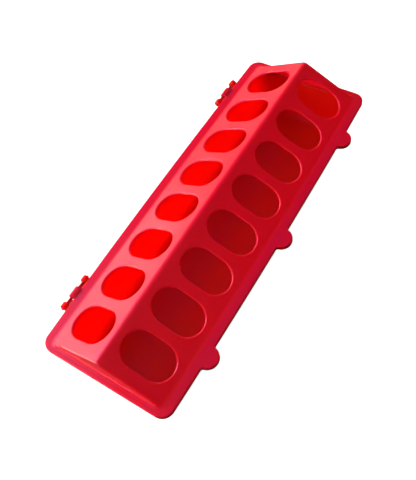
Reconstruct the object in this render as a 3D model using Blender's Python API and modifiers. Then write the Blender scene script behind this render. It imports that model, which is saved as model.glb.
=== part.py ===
"""Flip-top chick feeder: a long feed tray under a gabled lid with a row of feeding holes in each slope.

The tray stands on the floor at z = 0 with its length along X. The lid lies on the tray's rim, is hinged
along the back (+Y) on two short pins, and has three finger tabs along the front (-Y).
All sizes are in metres.
"""
import math

import bmesh
import bpy
from mathutils import Euler, Matrix, Vector

# Driving dimensions: the plan that the lid's flange and the tray's rim share
LENGTH = 0.305
END_WIDTH = 0.1054
SIDE_BOW = 0.00185
CORNER_RADIUS = 0.009
WALL = 0.0018
TOUCH_GAP = 0.0003

# Driving dimensions: the tray
RIM_HEIGHT = 0.038
MOUTH_SIDE_RIM = 0.0077
MOUTH_END_RIM = 0.0063
MOUTH_CORNER_RADIUS = 0.010
FLOOR_SIDE_DRAFT = 0.0095
FLOOR_END_DRAFT = 0.0060
FLOOR_CORNER_RADIUS = 0.0075
FLOOR_FILLET = 0.0075

# Driving dimensions: the lid
ROOF_SIDE_FLANGE = 0.0073
ROOF_END_FLANGE = 0.0060
ROOF_HEIGHT = 0.0227
ROOF_END_LEAN = 0.0003
RIDGE_RADIUS = 0.0045
VERGE_RADIUS = 0.0015
INNER_VERGE_RADIUS = 0.0005

# Driving dimensions: the feeding holes in each slope
HOLES_PER_SLOPE = 8
HOLE_PITCH = 0.0353
HOLE_LENGTH = 0.0392
HOLE_WIDTH = 0.0263
HOLE_CENTRE_UP_SLOPE = 0.0256

# Driving dimensions: the finger tabs and the studs that snap them shut
TAB_PLACES = (-0.103, 0.0, 0.103)
TAB_RADIUS = 0.0083
TAB_REACH = 0.0076
TAB_FILLET = 0.0018
STUD_RADIUS = 0.0015
STUD_DROP = 0.0029
STUD_TIP_RADIUS = 0.0011

# Driving dimensions: the two hinges
HINGE_PLACES = (-0.108, 0.108)
HINGE_OFFSET = 0.0030
PIN_RADIUS = 0.0010
PIN_LENGTH = 0.031
PIN_END_ROUND = 0.0004
KNUCKLE_RADIUS = 0.0024
KNUCKLE_LENGTH = 0.009
CLIP_RADIUS = 0.0026
CLIP_LENGTH = 0.005
CLIP_SPACING = 0.024
CLIP_MOUTH = 0.0016
CLIP_MOUTH_TURN = math.radians(45)
HINGE_ARM_ROOT = 0.0020
HINGE_ARM_MARGIN = 0.0001

# Driving dimensions: how far the cutters of the through holes reach
HOLE_CUTTER_DEPTH = 0.0108
SOCKET_CUTTER_DEPTH = 0.0072

# How finely round stretches are divided
SIDE_STEPS = 10
CORNER_STEPS = 6
FILLET_STEPS = 4
TAB_STEPS = 14
TAB_FILLET_STEPS = 3
HOLE_END_STEPS = 12
RIDGE_STEPS = 6
ROUND_STEPS = 24
BEVEL_STEPS = 2

# Limits that the modelling tools work with
FLAT_ANGLE = math.radians(0.02)
VERGE_ANGLE = math.radians(45)
PIN_END_ANGLE = math.radians(60)
SHARP_ANGLE = math.radians(40)
WELD_DISTANCE = 1e-6

# Sizes that follow from the driving dimensions
HALF_LENGTH = LENGTH / 2
END_HALF_WIDTH = END_WIDTH / 2
RIM_UNDERSIDE = RIM_HEIGHT - WALL
FLANGE_UNDERSIDE = RIM_HEIGHT + TOUCH_GAP
FLANGE_TOP = FLANGE_UNDERSIDE + WALL
ROOF_HALF_LENGTH = HALF_LENGTH - ROOF_END_FLANGE
ROOF_HALF_WIDTH = END_HALF_WIDTH - ROOF_SIDE_FLANGE
MOUTH_HALF_LENGTH = HALF_LENGTH - MOUTH_END_RIM
MOUTH_HALF_WIDTH = END_HALF_WIDTH - MOUTH_SIDE_RIM
BORE_RADIUS = PIN_RADIUS + TOUCH_GAP
HINGE_HEIGHT = RIM_HEIGHT + TOUCH_GAP / 2

# Colours of the moulded plastic, in linear red, green, blue and alpha, and how rough its surfaces are
LID_RED = (0.62, 0.006, 0.018, 1.0)
LID_ROUGHNESS = 0.34
TRAY_RED = (0.58, 0.004, 0.010, 1.0)
TRAY_ROUGHNESS = 0.38
PIN_RED = (0.26, 0.004, 0.008, 1.0)
PIN_ROUGHNESS = 0.45

# Length of the arrow that marks the hinge axis
AXIS_ARROW = 0.03


def bowed(half_width, x):
    """Half width at x of an outline whose long sides bow outwards towards the middle."""
    return half_width + SIDE_BOW * (1 - (x / HALF_LENGTH) ** 2)


HINGE_Y = bowed(END_HALF_WIDTH, HINGE_PLACES[1]) + HINGE_OFFSET


def arc(centre, radius, start, end, steps):
    """Points of an arc in a plane, from the start angle to the end angle, both included."""
    points = []
    for step in range(steps + 1):
        angle = start + (end - start) * step / steps
        points.append((centre[0] + radius * math.cos(angle), centre[1] + radius * math.sin(angle)))
    return points


def side_stations(reach):
    """Evenly spaced x positions from -reach to +reach."""
    return [reach * (2 * step / SIDE_STEPS - 1) for step in range(SIDE_STEPS + 1)]


def tab_outline(place, half_width):
    """A finger tab in plan, from its -X root to its +X root, set on the bowed front edge."""
    middle = (place, TAB_RADIUS - TAB_REACH)
    drop = middle[1] + TAB_FILLET
    spread = math.sqrt((TAB_RADIUS + TAB_FILLET) ** 2 - drop ** 2)
    lean = math.atan2(drop, spread)
    left = arc((place - spread, -TAB_FILLET), TAB_FILLET, math.pi / 2, lean, TAB_FILLET_STEPS)
    bulge = arc(middle, TAB_RADIUS, math.pi + lean, 2 * math.pi - lean, TAB_STEPS)
    right = arc((place + spread, -TAB_FILLET), TAB_FILLET, math.pi - lean, math.pi / 2, TAB_FILLET_STEPS)
    return [(x, y - bowed(half_width, x)) for x, y in left + bulge[1:-1] + right]


def plan_outline(half_length, half_width, radius, tabs=False):
    """A rounded, slightly bowed rectangle seen from above, anticlockwise, with or without finger tabs."""
    reach = half_length - radius
    back = bowed(half_width, reach) - radius
    points = arc((reach, back), radius, 0, math.pi / 2, CORNER_STEPS)
    stations = side_stations(reach)
    points += [(x, bowed(half_width, x)) for x in reversed(stations[1:-1])]
    points += arc((-reach, back), radius, math.pi / 2, math.pi, CORNER_STEPS)
    points += arc((-reach, -back), radius, math.pi, 1.5 * math.pi, CORNER_STEPS)
    if tabs:
        room = TAB_RADIUS + 2 * TAB_FILLET
        front = [(x, -bowed(half_width, x)) for x in stations[1:-1]
                 if all(abs(x - place) > room for place in TAB_PLACES)]
        for place in TAB_PLACES:
            before = [point for point in front if point[0] < place]
            after = front[len(before):]
            front = before + tab_outline(place, half_width) + after
    else:
        front = [(x, -bowed(half_width, x)) for x in stations[1:-1]]
    points += front
    points += arc((reach, -back), radius, 1.5 * math.pi, 2 * math.pi, CORNER_STEPS)
    return points


def remove_everything():
    """Empty the scene of objects."""
    for thing in list(bpy.data.objects):
        bpy.data.objects.remove(thing, do_unlink=True)


def new_collection(name):
    """A collection linked to the scene."""
    collection = bpy.data.collections.new(name)
    bpy.context.scene.collection.children.link(collection)
    return collection


def plastic(name, colour, roughness):
    """A moulded plastic as a Principled material."""
    material = bpy.data.materials.new(name)
    material.use_nodes = True
    shader = material.node_tree.nodes["Principled BSDF"]
    shader.inputs["Base Color"].default_value = colour
    shader.inputs["Roughness"].default_value = roughness
    shader.inputs["Metallic"].default_value = 0.0
    material.diffuse_color = colour
    return material


def object_from_bmesh(name, shape, collection):
    """Turn a bmesh into a named object in a collection."""
    bmesh.ops.recalc_face_normals(shape, faces=shape.faces[:])
    mesh = bpy.data.meshes.new(name)
    shape.to_mesh(mesh)
    shape.free()
    thing = bpy.data.objects.new(name, mesh)
    collection.objects.link(thing)
    return thing


def flat_plate(name, outline, thickness, collection):
    """A plate with the given outline, centred on its own XY plane, made from a filled 2D curve."""
    curve = bpy.data.curves.new(name + "_outline", "CURVE")
    curve.dimensions = "2D"
    curve.fill_mode = "BOTH"
    curve.extrude = thickness / 2
    spline = curve.splines.new("POLY")
    spline.points.add(len(outline) - 1)
    for point, (x, y) in zip(spline.points, outline):
        point.co = (x, y, 0, 1)
    spline.use_cyclic_u = True
    guide = bpy.data.objects.new(name + "_outline", curve)
    collection.objects.link(guide)
    evaluated = guide.evaluated_get(bpy.context.evaluated_depsgraph_get())
    filled = bpy.data.meshes.new_from_object(evaluated)
    shape = bmesh.new()
    shape.from_mesh(filled)
    bmesh.ops.remove_doubles(shape, verts=shape.verts, dist=WELD_DISTANCE)
    bmesh.ops.dissolve_limit(shape, angle_limit=FLAT_ANGLE, verts=shape.verts, edges=shape.edges)
    bpy.data.objects.remove(guide)
    bpy.data.meshes.remove(filled)
    return object_from_bmesh(name, shape, collection)


def place(thing, location, rotation=(0, 0, 0)):
    """Move a piece's mesh to its place, so that the object itself stays unturned at the origin."""
    turn = Euler(rotation).to_matrix().to_4x4()
    thing.data.transform(Matrix.Translation(location) @ turn)
    return thing


def join_shapes(name, things, collection):
    """Gather separate shapes that don't touch each other into one object."""
    shape = bmesh.new()
    for thing in things:
        shape.from_mesh(thing.data)
        bpy.data.objects.remove(thing)
    return object_from_bmesh(name, shape, collection)


def boolean(target, tool, operation):
    """Add to the target, or cut from it, the shape of a tool that stays in the cutters' collection."""
    tool.hide_render = True
    tool.display_type = "WIRE"
    modifier = target.modifiers.new(tool.name, "BOOLEAN")
    modifier.operation = operation
    modifier.object = tool


def gable_prism(name, half_length, half_width, height, radius, bottom, eaves, verge, collection):
    """A solid gabled roof along X: its slopes pass through the half width at the eaves' height.

    The slopes run on below the eaves to the bottom, the ridge is rounded, and the ends lean in a little.
    """
    spread = half_width * (1 + (eaves - bottom) / height)
    slope = math.atan2(height, half_width)
    arc_centre = eaves + height - radius
    profile = [(-spread, bottom), (spread, bottom)]
    profile += arc((0, arc_centre), radius, math.pi / 2 - slope, math.pi / 2 + slope, RIDGE_STEPS)
    roof = flat_plate(name, profile, 2 * half_length, collection)
    place(roof, (0, 0, 0), (math.pi / 2, 0, math.pi / 2))
    shape = bmesh.new()
    shape.from_mesh(roof.data)
    for x in side_stations(half_length)[1:-1]:
        everything = shape.verts[:] + shape.edges[:] + shape.faces[:]
        bmesh.ops.bisect_plane(shape, geom=everything, plane_co=(x, 0, 0), plane_no=(1, 0, 0))
    for vertex in shape.verts:
        x, y, z = vertex.co
        vertex.co.y = y * bowed(half_width, x) / half_width
        vertex.co.x = x - math.copysign(ROOF_END_LEAN * (z - eaves) / height, x) * abs(x) / half_length
    shape.to_mesh(roof.data)
    shape.free()
    rounding = roof.modifiers.new("verges", "BEVEL")
    rounding.limit_method = "ANGLE"
    rounding.angle_limit = VERGE_ANGLE
    rounding.width = verge
    rounding.segments = BEVEL_STEPS
    return roof


def tub_solid(name, inset, bottom, top, fillet, collection):
    """The tray's tub as a solid: a tapered box with rounded corners, lofted through level outlines.

    The inset moves every wall inwards, so that one call makes the outside and another the hollow.
    """
    levels = []
    for step in range(FILLET_STEPS + 1):
        angle = math.pi / 2 * step / FILLET_STEPS
        levels.append((bottom + fillet * (1 - math.cos(angle)), fillet * (1 - math.sin(angle))))
    levels.append((top, 0))
    shape = bmesh.new()
    loops = []
    for z, tuck in levels:
        down = (RIM_HEIGHT - z) / RIM_HEIGHT
        half_length = MOUTH_HALF_LENGTH + WALL - inset - tuck - FLOOR_END_DRAFT * down
        half_width = MOUTH_HALF_WIDTH + WALL - inset - tuck - FLOOR_SIDE_DRAFT * down
        radius = MOUTH_CORNER_RADIUS + (FLOOR_CORNER_RADIUS - MOUTH_CORNER_RADIUS) * down - tuck / 2
        ring = [shape.verts.new((x, y, z)) for x, y in plan_outline(half_length, half_width, radius)]
        loops.append([shape.edges.new((ring[i - 1], ring[i])) for i in range(len(ring))])
    for lower, upper in zip(loops, loops[1:]):
        bmesh.ops.bridge_loops(shape, edges=lower + upper)
    bmesh.ops.holes_fill(shape, edges=loops[0] + loops[-1], sides=0)
    return object_from_bmesh(name, shape, collection)


def cylinder(name, radius, length, centre, collection, along="X", tip=None):
    """A round bar along X or Z, centred at a point; its low end may have a smaller radius."""
    shape = bmesh.new()
    low = radius if tip is None else tip
    bmesh.ops.create_cone(shape, cap_ends=True, segments=ROUND_STEPS, radius1=low, radius2=radius, depth=length)
    if along == "X":
        bmesh.ops.rotate(shape, verts=shape.verts, matrix=Matrix.Rotation(math.pi / 2, 3, "Y"))
    bmesh.ops.translate(shape, verts=shape.verts, vec=centre)
    return object_from_bmesh(name, shape, collection)


def box(name, low, high, collection):
    """A box between two corners."""
    shape = bmesh.new()
    bmesh.ops.create_cube(shape, size=1)
    size = Vector(high) - Vector(low)
    bmesh.ops.scale(shape, verts=shape.verts, vec=size)
    bmesh.ops.translate(shape, verts=shape.verts, vec=(Vector(high) + Vector(low)) / 2)
    return object_from_bmesh(name, shape, collection)


def hinge_arms(name, places, length, underside, cutters):
    """Bars that carry hinge barrels out from the edge of the plate with the given underside."""
    bars = []
    reach = (length - HINGE_ARM_MARGIN) / 2
    for x in places:
        root = bowed(END_HALF_WIDTH, x) - HINGE_ARM_ROOT
        low = (x - reach, root, underside + HINGE_ARM_MARGIN)
        high = (x + reach, HINGE_Y, underside + WALL - HINGE_ARM_MARGIN)
        bars.append(box(name, low, high, cutters))
    return join_shapes(name, bars, cutters)


def hinge_rods(name, places, radius, length, cutters):
    """Round bars that lie on the hinge axis, one at each x position."""
    rods = [cylinder(name, radius, length, (x, HINGE_Y, HINGE_HEIGHT), cutters) for x in places]
    return join_shapes(name, rods, cutters)


def add_barrels(plate, name, places, radius, length, underside, cutters):
    """Give a plate its hinge barrels: at each place an arm with a ring that is still to be bored."""
    boolean(plate, hinge_arms(name + "_arms", places, length, underside, cutters), "UNION")
    boolean(plate, hinge_rods(name + "_rings", places, radius, length, cutters), "UNION")


def clip_places():
    """The x positions of the tray's hinge clips, two at each hinge."""
    return [place + side * CLIP_SPACING / 2 for place in HINGE_PLACES for side in (-1, 1)]


def clip_mouths(cutters):
    """The slots through which the clips snap over their pins, turned up and outwards."""
    low = (-CLIP_LENGTH, -CLIP_MOUTH / 2, 0)
    high = (CLIP_LENGTH, CLIP_MOUTH / 2, 2 * CLIP_RADIUS)
    mouths = []
    for x in clip_places():
        mouth = box("tray_clip_mouths", low, high, cutters)
        mouths.append(place(mouth, (x, HINGE_Y, HINGE_HEIGHT), (-CLIP_MOUTH_TURN, 0, 0)))
    return join_shapes("tray_clip_mouths", mouths, cutters)


def tab_centre(x):
    """The middle of a finger tab in plan."""
    return (x, -(bowed(END_HALF_WIDTH, x) + TAB_REACH - TAB_RADIUS))


def stud_sockets(cutters):
    """The holes through the tray's tabs that the lid's studs snap into."""
    radius = STUD_RADIUS + TOUCH_GAP
    sockets = []
    for x in TAB_PLACES:
        centre = (*tab_centre(x), RIM_HEIGHT)
        sockets.append(cylinder("tray_stud_sockets", radius, SOCKET_CUTTER_DEPTH, centre, cutters, "Z"))
    return join_shapes("tray_stud_sockets", sockets, cutters)


def snap_studs(cutters):
    """The tapered studs under the lid's tabs, rooted in the middle of the flange."""
    top = FLANGE_UNDERSIDE + WALL / 2
    length = STUD_DROP + WALL / 2
    studs = []
    for x in TAB_PLACES:
        centre = (*tab_centre(x), top - length / 2)
        studs.append(cylinder("lid_snap_studs", STUD_RADIUS, length, centre, cutters, "Z", STUD_TIP_RADIUS))
    return join_shapes("lid_snap_studs", studs, cutters)


def feeding_hole(x, side, cutters):
    """The cutter of one feeding hole, square to the slope: side is +1 at the back and -1 at the front."""
    half_width = bowed(ROOF_HALF_WIDTH, x)
    slope = math.atan2(ROOF_HEIGHT, half_width)
    straight = (HOLE_LENGTH - HOLE_WIDTH) / 2
    outline = arc((0, straight), HOLE_WIDTH / 2, 0, math.pi, HOLE_END_STEPS)
    outline += arc((0, -straight), HOLE_WIDTH / 2, math.pi, 2 * math.pi, HOLE_END_STEPS)
    cutter = flat_plate("lid_feeding_holes", outline, HOLE_CUTTER_DEPTH, cutters)
    y = side * (half_width - HOLE_CENTRE_UP_SLOPE * math.cos(slope))
    z = FLANGE_TOP + HOLE_CENTRE_UP_SLOPE * math.sin(slope)
    return place(cutter, (x, y, z), (-side * slope, 0, 0))


def feeding_holes(cutters):
    """The cutters of the rows of feeding holes in both slopes."""
    holes = []
    for number in range(HOLES_PER_SLOPE):
        x = (number - (HOLES_PER_SLOPE - 1) / 2) * HOLE_PITCH
        holes += [feeding_hole(x, side, cutters) for side in (1, -1)]
    return join_shapes("lid_feeding_holes", holes, cutters)


def roof_hollow(cutters):
    """The room under the roof, which leaves one wall's thickness in the slopes and the gables."""
    slope = math.atan2(ROOF_HEIGHT, ROOF_HALF_WIDTH)
    half_width = ROOF_HALF_WIDTH - WALL * math.tan(slope / 2)
    return gable_prism("lid_hollow", ROOF_HALF_LENGTH - WALL, half_width, ROOF_HEIGHT, RIDGE_RADIUS - WALL,
                       FLANGE_UNDERSIDE - WALL, FLANGE_UNDERSIDE, INNER_VERGE_RADIUS, cutters)


def build_tray(parts, cutters, material):
    """The feed tray: a tapered tub with a flat rim, three finger tabs and four hinge clips."""
    outline = plan_outline(HALF_LENGTH, END_HALF_WIDTH, CORNER_RADIUS, tabs=True)
    tray = place(flat_plate("tray", outline, WALL, parts), (0, 0, RIM_HEIGHT - WALL / 2))
    tray.data.materials.append(material)
    tub = tub_solid("tray_tub", 0, 0, RIM_HEIGHT - WALL / 2, FLOOR_FILLET, cutters)
    boolean(tray, tub, "UNION")
    hollow = tub_solid("tray_hollow", WALL, WALL, RIM_HEIGHT + WALL, FLOOR_FILLET - WALL, cutters)
    boolean(tray, hollow, "DIFFERENCE")
    add_barrels(tray, "tray_clip", clip_places(), CLIP_RADIUS, CLIP_LENGTH, RIM_UNDERSIDE, cutters)
    boolean(tray, clip_mouths(cutters), "DIFFERENCE")
    bores = hinge_rods("tray_clip_bores", clip_places(), BORE_RADIUS, 2 * CLIP_LENGTH, cutters)
    boolean(tray, bores, "DIFFERENCE")
    boolean(tray, stud_sockets(cutters), "DIFFERENCE")
    return tray


def build_lid(parts, cutters, material):
    """The lid: a flat flange and a gabled roof with feeding holes, hinge knuckles and snap studs."""
    outline = plan_outline(HALF_LENGTH, END_HALF_WIDTH, CORNER_RADIUS, tabs=True)
    lid = place(flat_plate("lid", outline, WALL, parts), (0, 0, FLANGE_TOP - WALL / 2))
    lid.data.materials.append(material)
    roof = gable_prism("lid_roof", ROOF_HALF_LENGTH, ROOF_HALF_WIDTH, ROOF_HEIGHT, RIDGE_RADIUS,
                       FLANGE_TOP - WALL / 2, FLANGE_TOP, VERGE_RADIUS, cutters)
    boolean(lid, roof, "UNION")
    boolean(lid, roof_hollow(cutters), "DIFFERENCE")
    boolean(lid, feeding_holes(cutters), "DIFFERENCE")
    add_barrels(lid, "lid_knuckle", HINGE_PLACES, KNUCKLE_RADIUS, KNUCKLE_LENGTH, FLANGE_UNDERSIDE, cutters)
    bores = hinge_rods("lid_knuckle_bores", HINGE_PLACES, BORE_RADIUS, 2 * KNUCKLE_LENGTH, cutters)
    boolean(lid, bores, "DIFFERENCE")
    boolean(lid, snap_studs(cutters), "UNION")
    return lid


def build_pin(name, x, parts, material):
    """One hinge pin: a short round rod with softened ends."""
    pin = cylinder(name, PIN_RADIUS, PIN_LENGTH, (x, HINGE_Y, HINGE_HEIGHT), parts)
    pin.data.materials.append(material)
    pin.data.shade_smooth()
    pin.data.set_sharp_from_angle(angle=SHARP_ANGLE)
    rounding = pin.modifiers.new("softened_ends", "BEVEL")
    rounding.limit_method = "ANGLE"
    rounding.angle_limit = PIN_END_ANGLE
    rounding.width = PIN_END_ROUND
    rounding.segments = BEVEL_STEPS
    return pin


def hang_on_hinge(pieces, parts):
    """Parent the pieces that swing to an empty that lies on the hinge axis, without moving them."""
    axis = bpy.data.objects.new("lid_hinge_axis", None)
    axis.empty_display_type = "SINGLE_ARROW"
    axis.empty_display_size = AXIS_ARROW
    axis.location = (0, HINGE_Y, HINGE_HEIGHT)
    parts.objects.link(axis)
    for piece in pieces:
        piece.parent = axis
        piece.location = (0, -HINGE_Y, -HINGE_HEIGHT)


def build_feeder():
    """Build the tray, the lid and the two hinge pins."""
    remove_everything()
    parts = new_collection("chick_feeder")
    cutters = new_collection("chick_feeder_cutters")
    build_tray(parts, cutters, plastic("tray_plastic", TRAY_RED, TRAY_ROUGHNESS))
    lid = build_lid(parts, cutters, plastic("lid_plastic", LID_RED, LID_ROUGHNESS))
    swinging = [lid]
    for side, x in zip(("left", "right"), HINGE_PLACES):
        material = plastic(f"hinge_pin_{side}_plastic", PIN_RED, PIN_ROUGHNESS)
        swinging.append(build_pin(f"hinge_pin_{side}", x, parts, material))
    hang_on_hinge(swinging, parts)


build_feeder()
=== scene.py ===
"""Looks of a red plastic flip-top chick feeder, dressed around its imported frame.

The tray and the lid are modelled as thin moulded sheets and given their wall; the hinge pins are round rods.
Lengths are metres, +X runs along the feeder, +Y points to its hinges and +Z is up.
"""

import logging
import math
from collections.abc import Callable, Iterable
from dataclasses import dataclass, field
from enum import Enum
from functools import partial
from itertools import accumulate, pairwise

import bmesh
import bpy
from mathutils import Matrix, Vector


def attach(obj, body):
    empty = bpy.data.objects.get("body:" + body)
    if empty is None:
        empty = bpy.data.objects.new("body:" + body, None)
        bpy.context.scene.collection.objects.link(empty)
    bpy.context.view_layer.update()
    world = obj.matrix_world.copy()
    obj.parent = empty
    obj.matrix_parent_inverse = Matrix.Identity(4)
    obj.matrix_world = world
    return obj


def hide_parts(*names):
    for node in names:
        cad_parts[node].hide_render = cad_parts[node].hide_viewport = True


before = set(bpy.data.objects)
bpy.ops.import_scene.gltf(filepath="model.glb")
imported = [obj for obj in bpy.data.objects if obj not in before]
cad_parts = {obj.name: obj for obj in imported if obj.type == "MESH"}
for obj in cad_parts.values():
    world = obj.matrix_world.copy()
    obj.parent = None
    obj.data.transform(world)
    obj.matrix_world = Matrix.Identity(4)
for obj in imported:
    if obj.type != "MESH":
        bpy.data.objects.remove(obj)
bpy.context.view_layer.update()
LOG = logging.getLogger("chick_feeder")
UP = Vector((0.0, 0.0, 1.0))
# The lights shine at this point
AIM = Vector((0.0, 0.0, 0.03))
# Points closer together than WELD are one, and a point within NEAR of a line lies on it
WELD = 1e-6
NEAR = 10 * WELD
# A face whose normal has more than this along an axis faces that way
FACING = 0.5
# A wall's inner side is smoothed where it bends by more than SHARP
SHARP = math.radians(42)
FOLD_ROUNDS = 16
FOLD_REACH = 2
FOLD_PULL = 0.5
# Wear begins where faces turn by WEAR_FROM at an edge, and is full where they turn by WEAR_SPAN more
WEAR_FROM = math.radians(12)
WEAR_SPAN = math.radians(14)
ROUND_STEPS = 4
SMALL_ROUND_STEPS = 2
BAR_SIDES = 40

Point = tuple[float, float]
Triple = tuple[float, float, float]
Shape = bmesh.types.BMesh
Vert = bmesh.types.BMVert
Edge = bmesh.types.BMEdge
Mesh = bpy.types.Mesh
Piece = bpy.types.Object


class Side(Enum):
    """A long side of the feeder, by the sign of its y."""

    FRONT = -1
    BACK = 1


class Lies(Enum):
    """How a round bar lies: along the feeder, or upright."""

    ALONG = "along"
    UPRIGHT = "upright"


class Shows(Enum):
    """Where a studio light shows: in the plastic's body colour, or in its gloss."""

    BODY = "body"
    GLOSS = "gloss"


def spread(start: float, end: float, steps: int) -> list[float]:
    """Evenly spaced values from start to end, both included."""
    return [start + (end - start) * step / steps for step in range(steps + 1)]


def on_circle(centre: Point, radius: float, angle: float) -> Point:
    """The point of a circle at an angle in radians."""
    return (centre[0] + radius * math.cos(angle), centre[1] + radius * math.sin(angle))


def arc(centre: Point, radius: float, start: float, end: float, steps: int) -> list[Point]:
    """Points of an arc, both ends included, from the angle start to the angle end."""
    return [on_circle(centre, radius, angle) for angle in spread(start, end, steps)]


def raised(points: Iterable[Point], z: float) -> list[Vector]:
    """Points of the plan at one height."""
    return [Vector((x, y, z)) for x, y in points]


def closed_loop(shape: Shape, points: Iterable[Vector]) -> list[Edge]:
    """Add a closed loop of vertices, and give its edges."""
    corners = [shape.verts.new(point) for point in points]
    return [shape.edges.new((corners[i - 1], corners[i])) for i in range(len(corners))]


def extrude_row(shape: Shape, edges: list[Edge], place: Callable[[Vert], Vector], carry: dict) -> list[Edge]:
    """Extrude a loop of edges by one row of faces.

    Args:
        shape: the bmesh that holds the loop.
        edges: the loop's edges.
        place: gives the new place of the copy of an old vertex.
        carry: facts about the old vertices, which the new ones take over.

    Returns:
        The edges of the new loop.
    """
    made = bmesh.ops.extrude_edge_only(shape, edges=edges)["geom"]
    fresh = {item for item in made if isinstance(item, Vert)}
    for vertex in fresh:
        old = next(e.other_vert(vertex) for e in vertex.link_edges if e.other_vert(vertex) not in fresh)
        carry[vertex] = carry[old]
        vertex.co = place(old)
    return [item for item in made if isinstance(item, Edge) and fresh.issuperset(item.verts)]


def fill_flat(shape: Shape, edges: list[Edge], border: float) -> None:
    """Fill the level area between loops of edges, with a narrow border of faces along the loops.

    Args:
        shape: the bmesh that holds the loops.
        edges: the edges of all the loops.
        border: the border's width.
    """
    made = bmesh.ops.triangle_fill(shape, use_beauty=True, edges=edges, normal=UP)["geom"]
    flat = [item for item in made if isinstance(item, bmesh.types.BMFace)]
    bmesh.ops.inset_region(shape, faces=flat, use_boundary=True, use_even_offset=True, thickness=border)


def round_edges(shape: Shape, edges: list[Edge], radius: float, steps: int) -> None:
    """Round edges of a closed shape in a number of steps."""
    bmesh.ops.bevel(
        shape, geom=edges, offset=radius, segments=steps, profile=0.5, affect="EDGES", material=-1
    )


def face_up(shape: Shape, height: float) -> None:
    """Weld a sheet and turn all its faces to the side on which its level faces look up.

    Args:
        shape: the sheet.
        height: the height of its level faces.
    """
    bmesh.ops.remove_doubles(shape, verts=shape.verts[:], dist=WELD)
    bmesh.ops.recalc_face_normals(shape, faces=shape.faces[:])
    level = [f for f in shape.faces if all(abs(v.co.z - height) < WELD for v in f.verts)]
    widest = max(level, key=lambda f: f.calc_area())
    if widest.normal.z < 0:
        bmesh.ops.reverse_faces(shape, faces=shape.faces[:])


def mesh_of(shape: Shape, name: str) -> Mesh:
    """Turn a bmesh into a mesh and free it."""
    mesh = bpy.data.meshes.new(name)
    shape.to_mesh(mesh)
    shape.free()
    return mesh


def piece_of(mesh: Mesh, name: str) -> Piece:
    """Put a mesh in the scene as a named object."""
    piece = bpy.data.objects.new(name, mesh)
    bpy.context.scene.collection.objects.link(piece)
    return piece


def settle(piece: Piece) -> Mesh:
    """Take the mesh that a piece's modifiers make, and remove the piece."""
    evaluated = piece.evaluated_get(bpy.context.evaluated_depsgraph_get())
    mesh = bpy.data.meshes.new_from_object(evaluated)
    bpy.data.objects.remove(piece)
    return mesh


def wear_edges(piece: Piece) -> None:
    """Store how sharply the faces turn at each point, as the attribute edge_wear from 0 to 1.

    Args:
        piece: the piece, whose mesh gets the attribute.
    """
    shape = bmesh.new()
    shape.from_mesh(piece.data)
    turns = [max((e.calc_face_angle(0.0) for e in v.link_edges), default=0.0) for v in shape.verts]
    shape.free()
    wear = [min(1.0, max(0.0, (turn - WEAR_FROM) / WEAR_SPAN)) for turn in turns]
    piece.data.attributes.new("edge_wear", "FLOAT", "POINT").data.foreach_set("value", wear)


def joined(name: str, shells: list[Mesh], material: bpy.types.Material) -> Piece:
    """Gather shells into one smooth-shaded piece with worn edges.

    Args:
        name: the piece's name.
        shells: its meshes, each closed.
        material: its material.

    Returns:
        The new piece.
    """
    shape = bmesh.new()
    for mesh in shells:
        shape.from_mesh(mesh)
        bpy.data.meshes.remove(mesh)
    piece = piece_of(mesh_of(shape, name), name)
    piece.data.shade_smooth()
    wear_edges(piece)
    piece.data.materials.append(material)
    return piece


def ease_folds(shape: Shape, rims: set[Edge]) -> None:
    """Smooth a wall's inner side where it folds in a bend that is tighter than the wall.

    Args:
        shape: the wall.
        rims: its true edges, which stay where they are.
    """
    held = {v for e in rims for v in e.verts}
    for _ in range(FOLD_ROUNDS):
        near = {v for e in shape.edges if e not in rims and e.calc_face_angle(0.0) > SHARP for v in e.verts}
        for _ in range(FOLD_REACH):
            near |= {e.other_vert(v) for v in near for e in v.link_edges}
        loose = sorted(near - held, key=lambda v: v.index)
        if not loose:
            break
        bmesh.ops.smooth_vert(
            shape, verts=loose, factor=FOLD_PULL, use_axis_x=True, use_axis_y=True, use_axis_z=True
        )


def walled(mesh: Mesh, wall: float, edge_radius: Callable[[Edge], float]) -> Mesh:
    """Give a sheet its wall below its faces, and round the edges of the wall.

    Args:
        mesh: an open sheet whose faces point to the wall's outer side.
        wall: wall thickness.
        edge_radius: gives the rounding of an edge of the wall.

    Returns:
        A closed mesh.
    """
    count = len(mesh.vertices)
    sheet = bmesh.new()
    sheet.from_mesh(mesh)
    brinks = {frozenset(v.index for v in e.verts) for e in sheet.edges if e.is_boundary}
    sheet.free()
    piece = piece_of(mesh, "sheet")
    thicken = piece.modifiers.new("wall", "SOLIDIFY")
    thicken.thickness = wall
    thicken.offset = -1.0
    thicken.use_even_offset = True
    thicken.use_quality_normals = True
    thick = settle(piece)
    shape = bmesh.new()
    shape.from_mesh(thick)
    bpy.data.meshes.remove(thick)
    # The sheet's points come first, then their copies on the inner side in the same order
    by_radius: dict[float, list[Edge]] = {}
    for edge in shape.edges:
        first, second = (v.index for v in edge.verts)
        if (first < count) == (second < count) and frozenset((first % count, second % count)) in brinks:
            by_radius.setdefault(edge_radius(edge), []).append(edge)
    ease_folds(shape, {edge for edges in by_radius.values() for edge in edges})
    for radius in sorted(by_radius, reverse=True):
        round_edges(shape, [e for e in by_radius[radius] if e.is_valid], radius, ROUND_STEPS)
    return mesh_of(shape, "shell")


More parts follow.
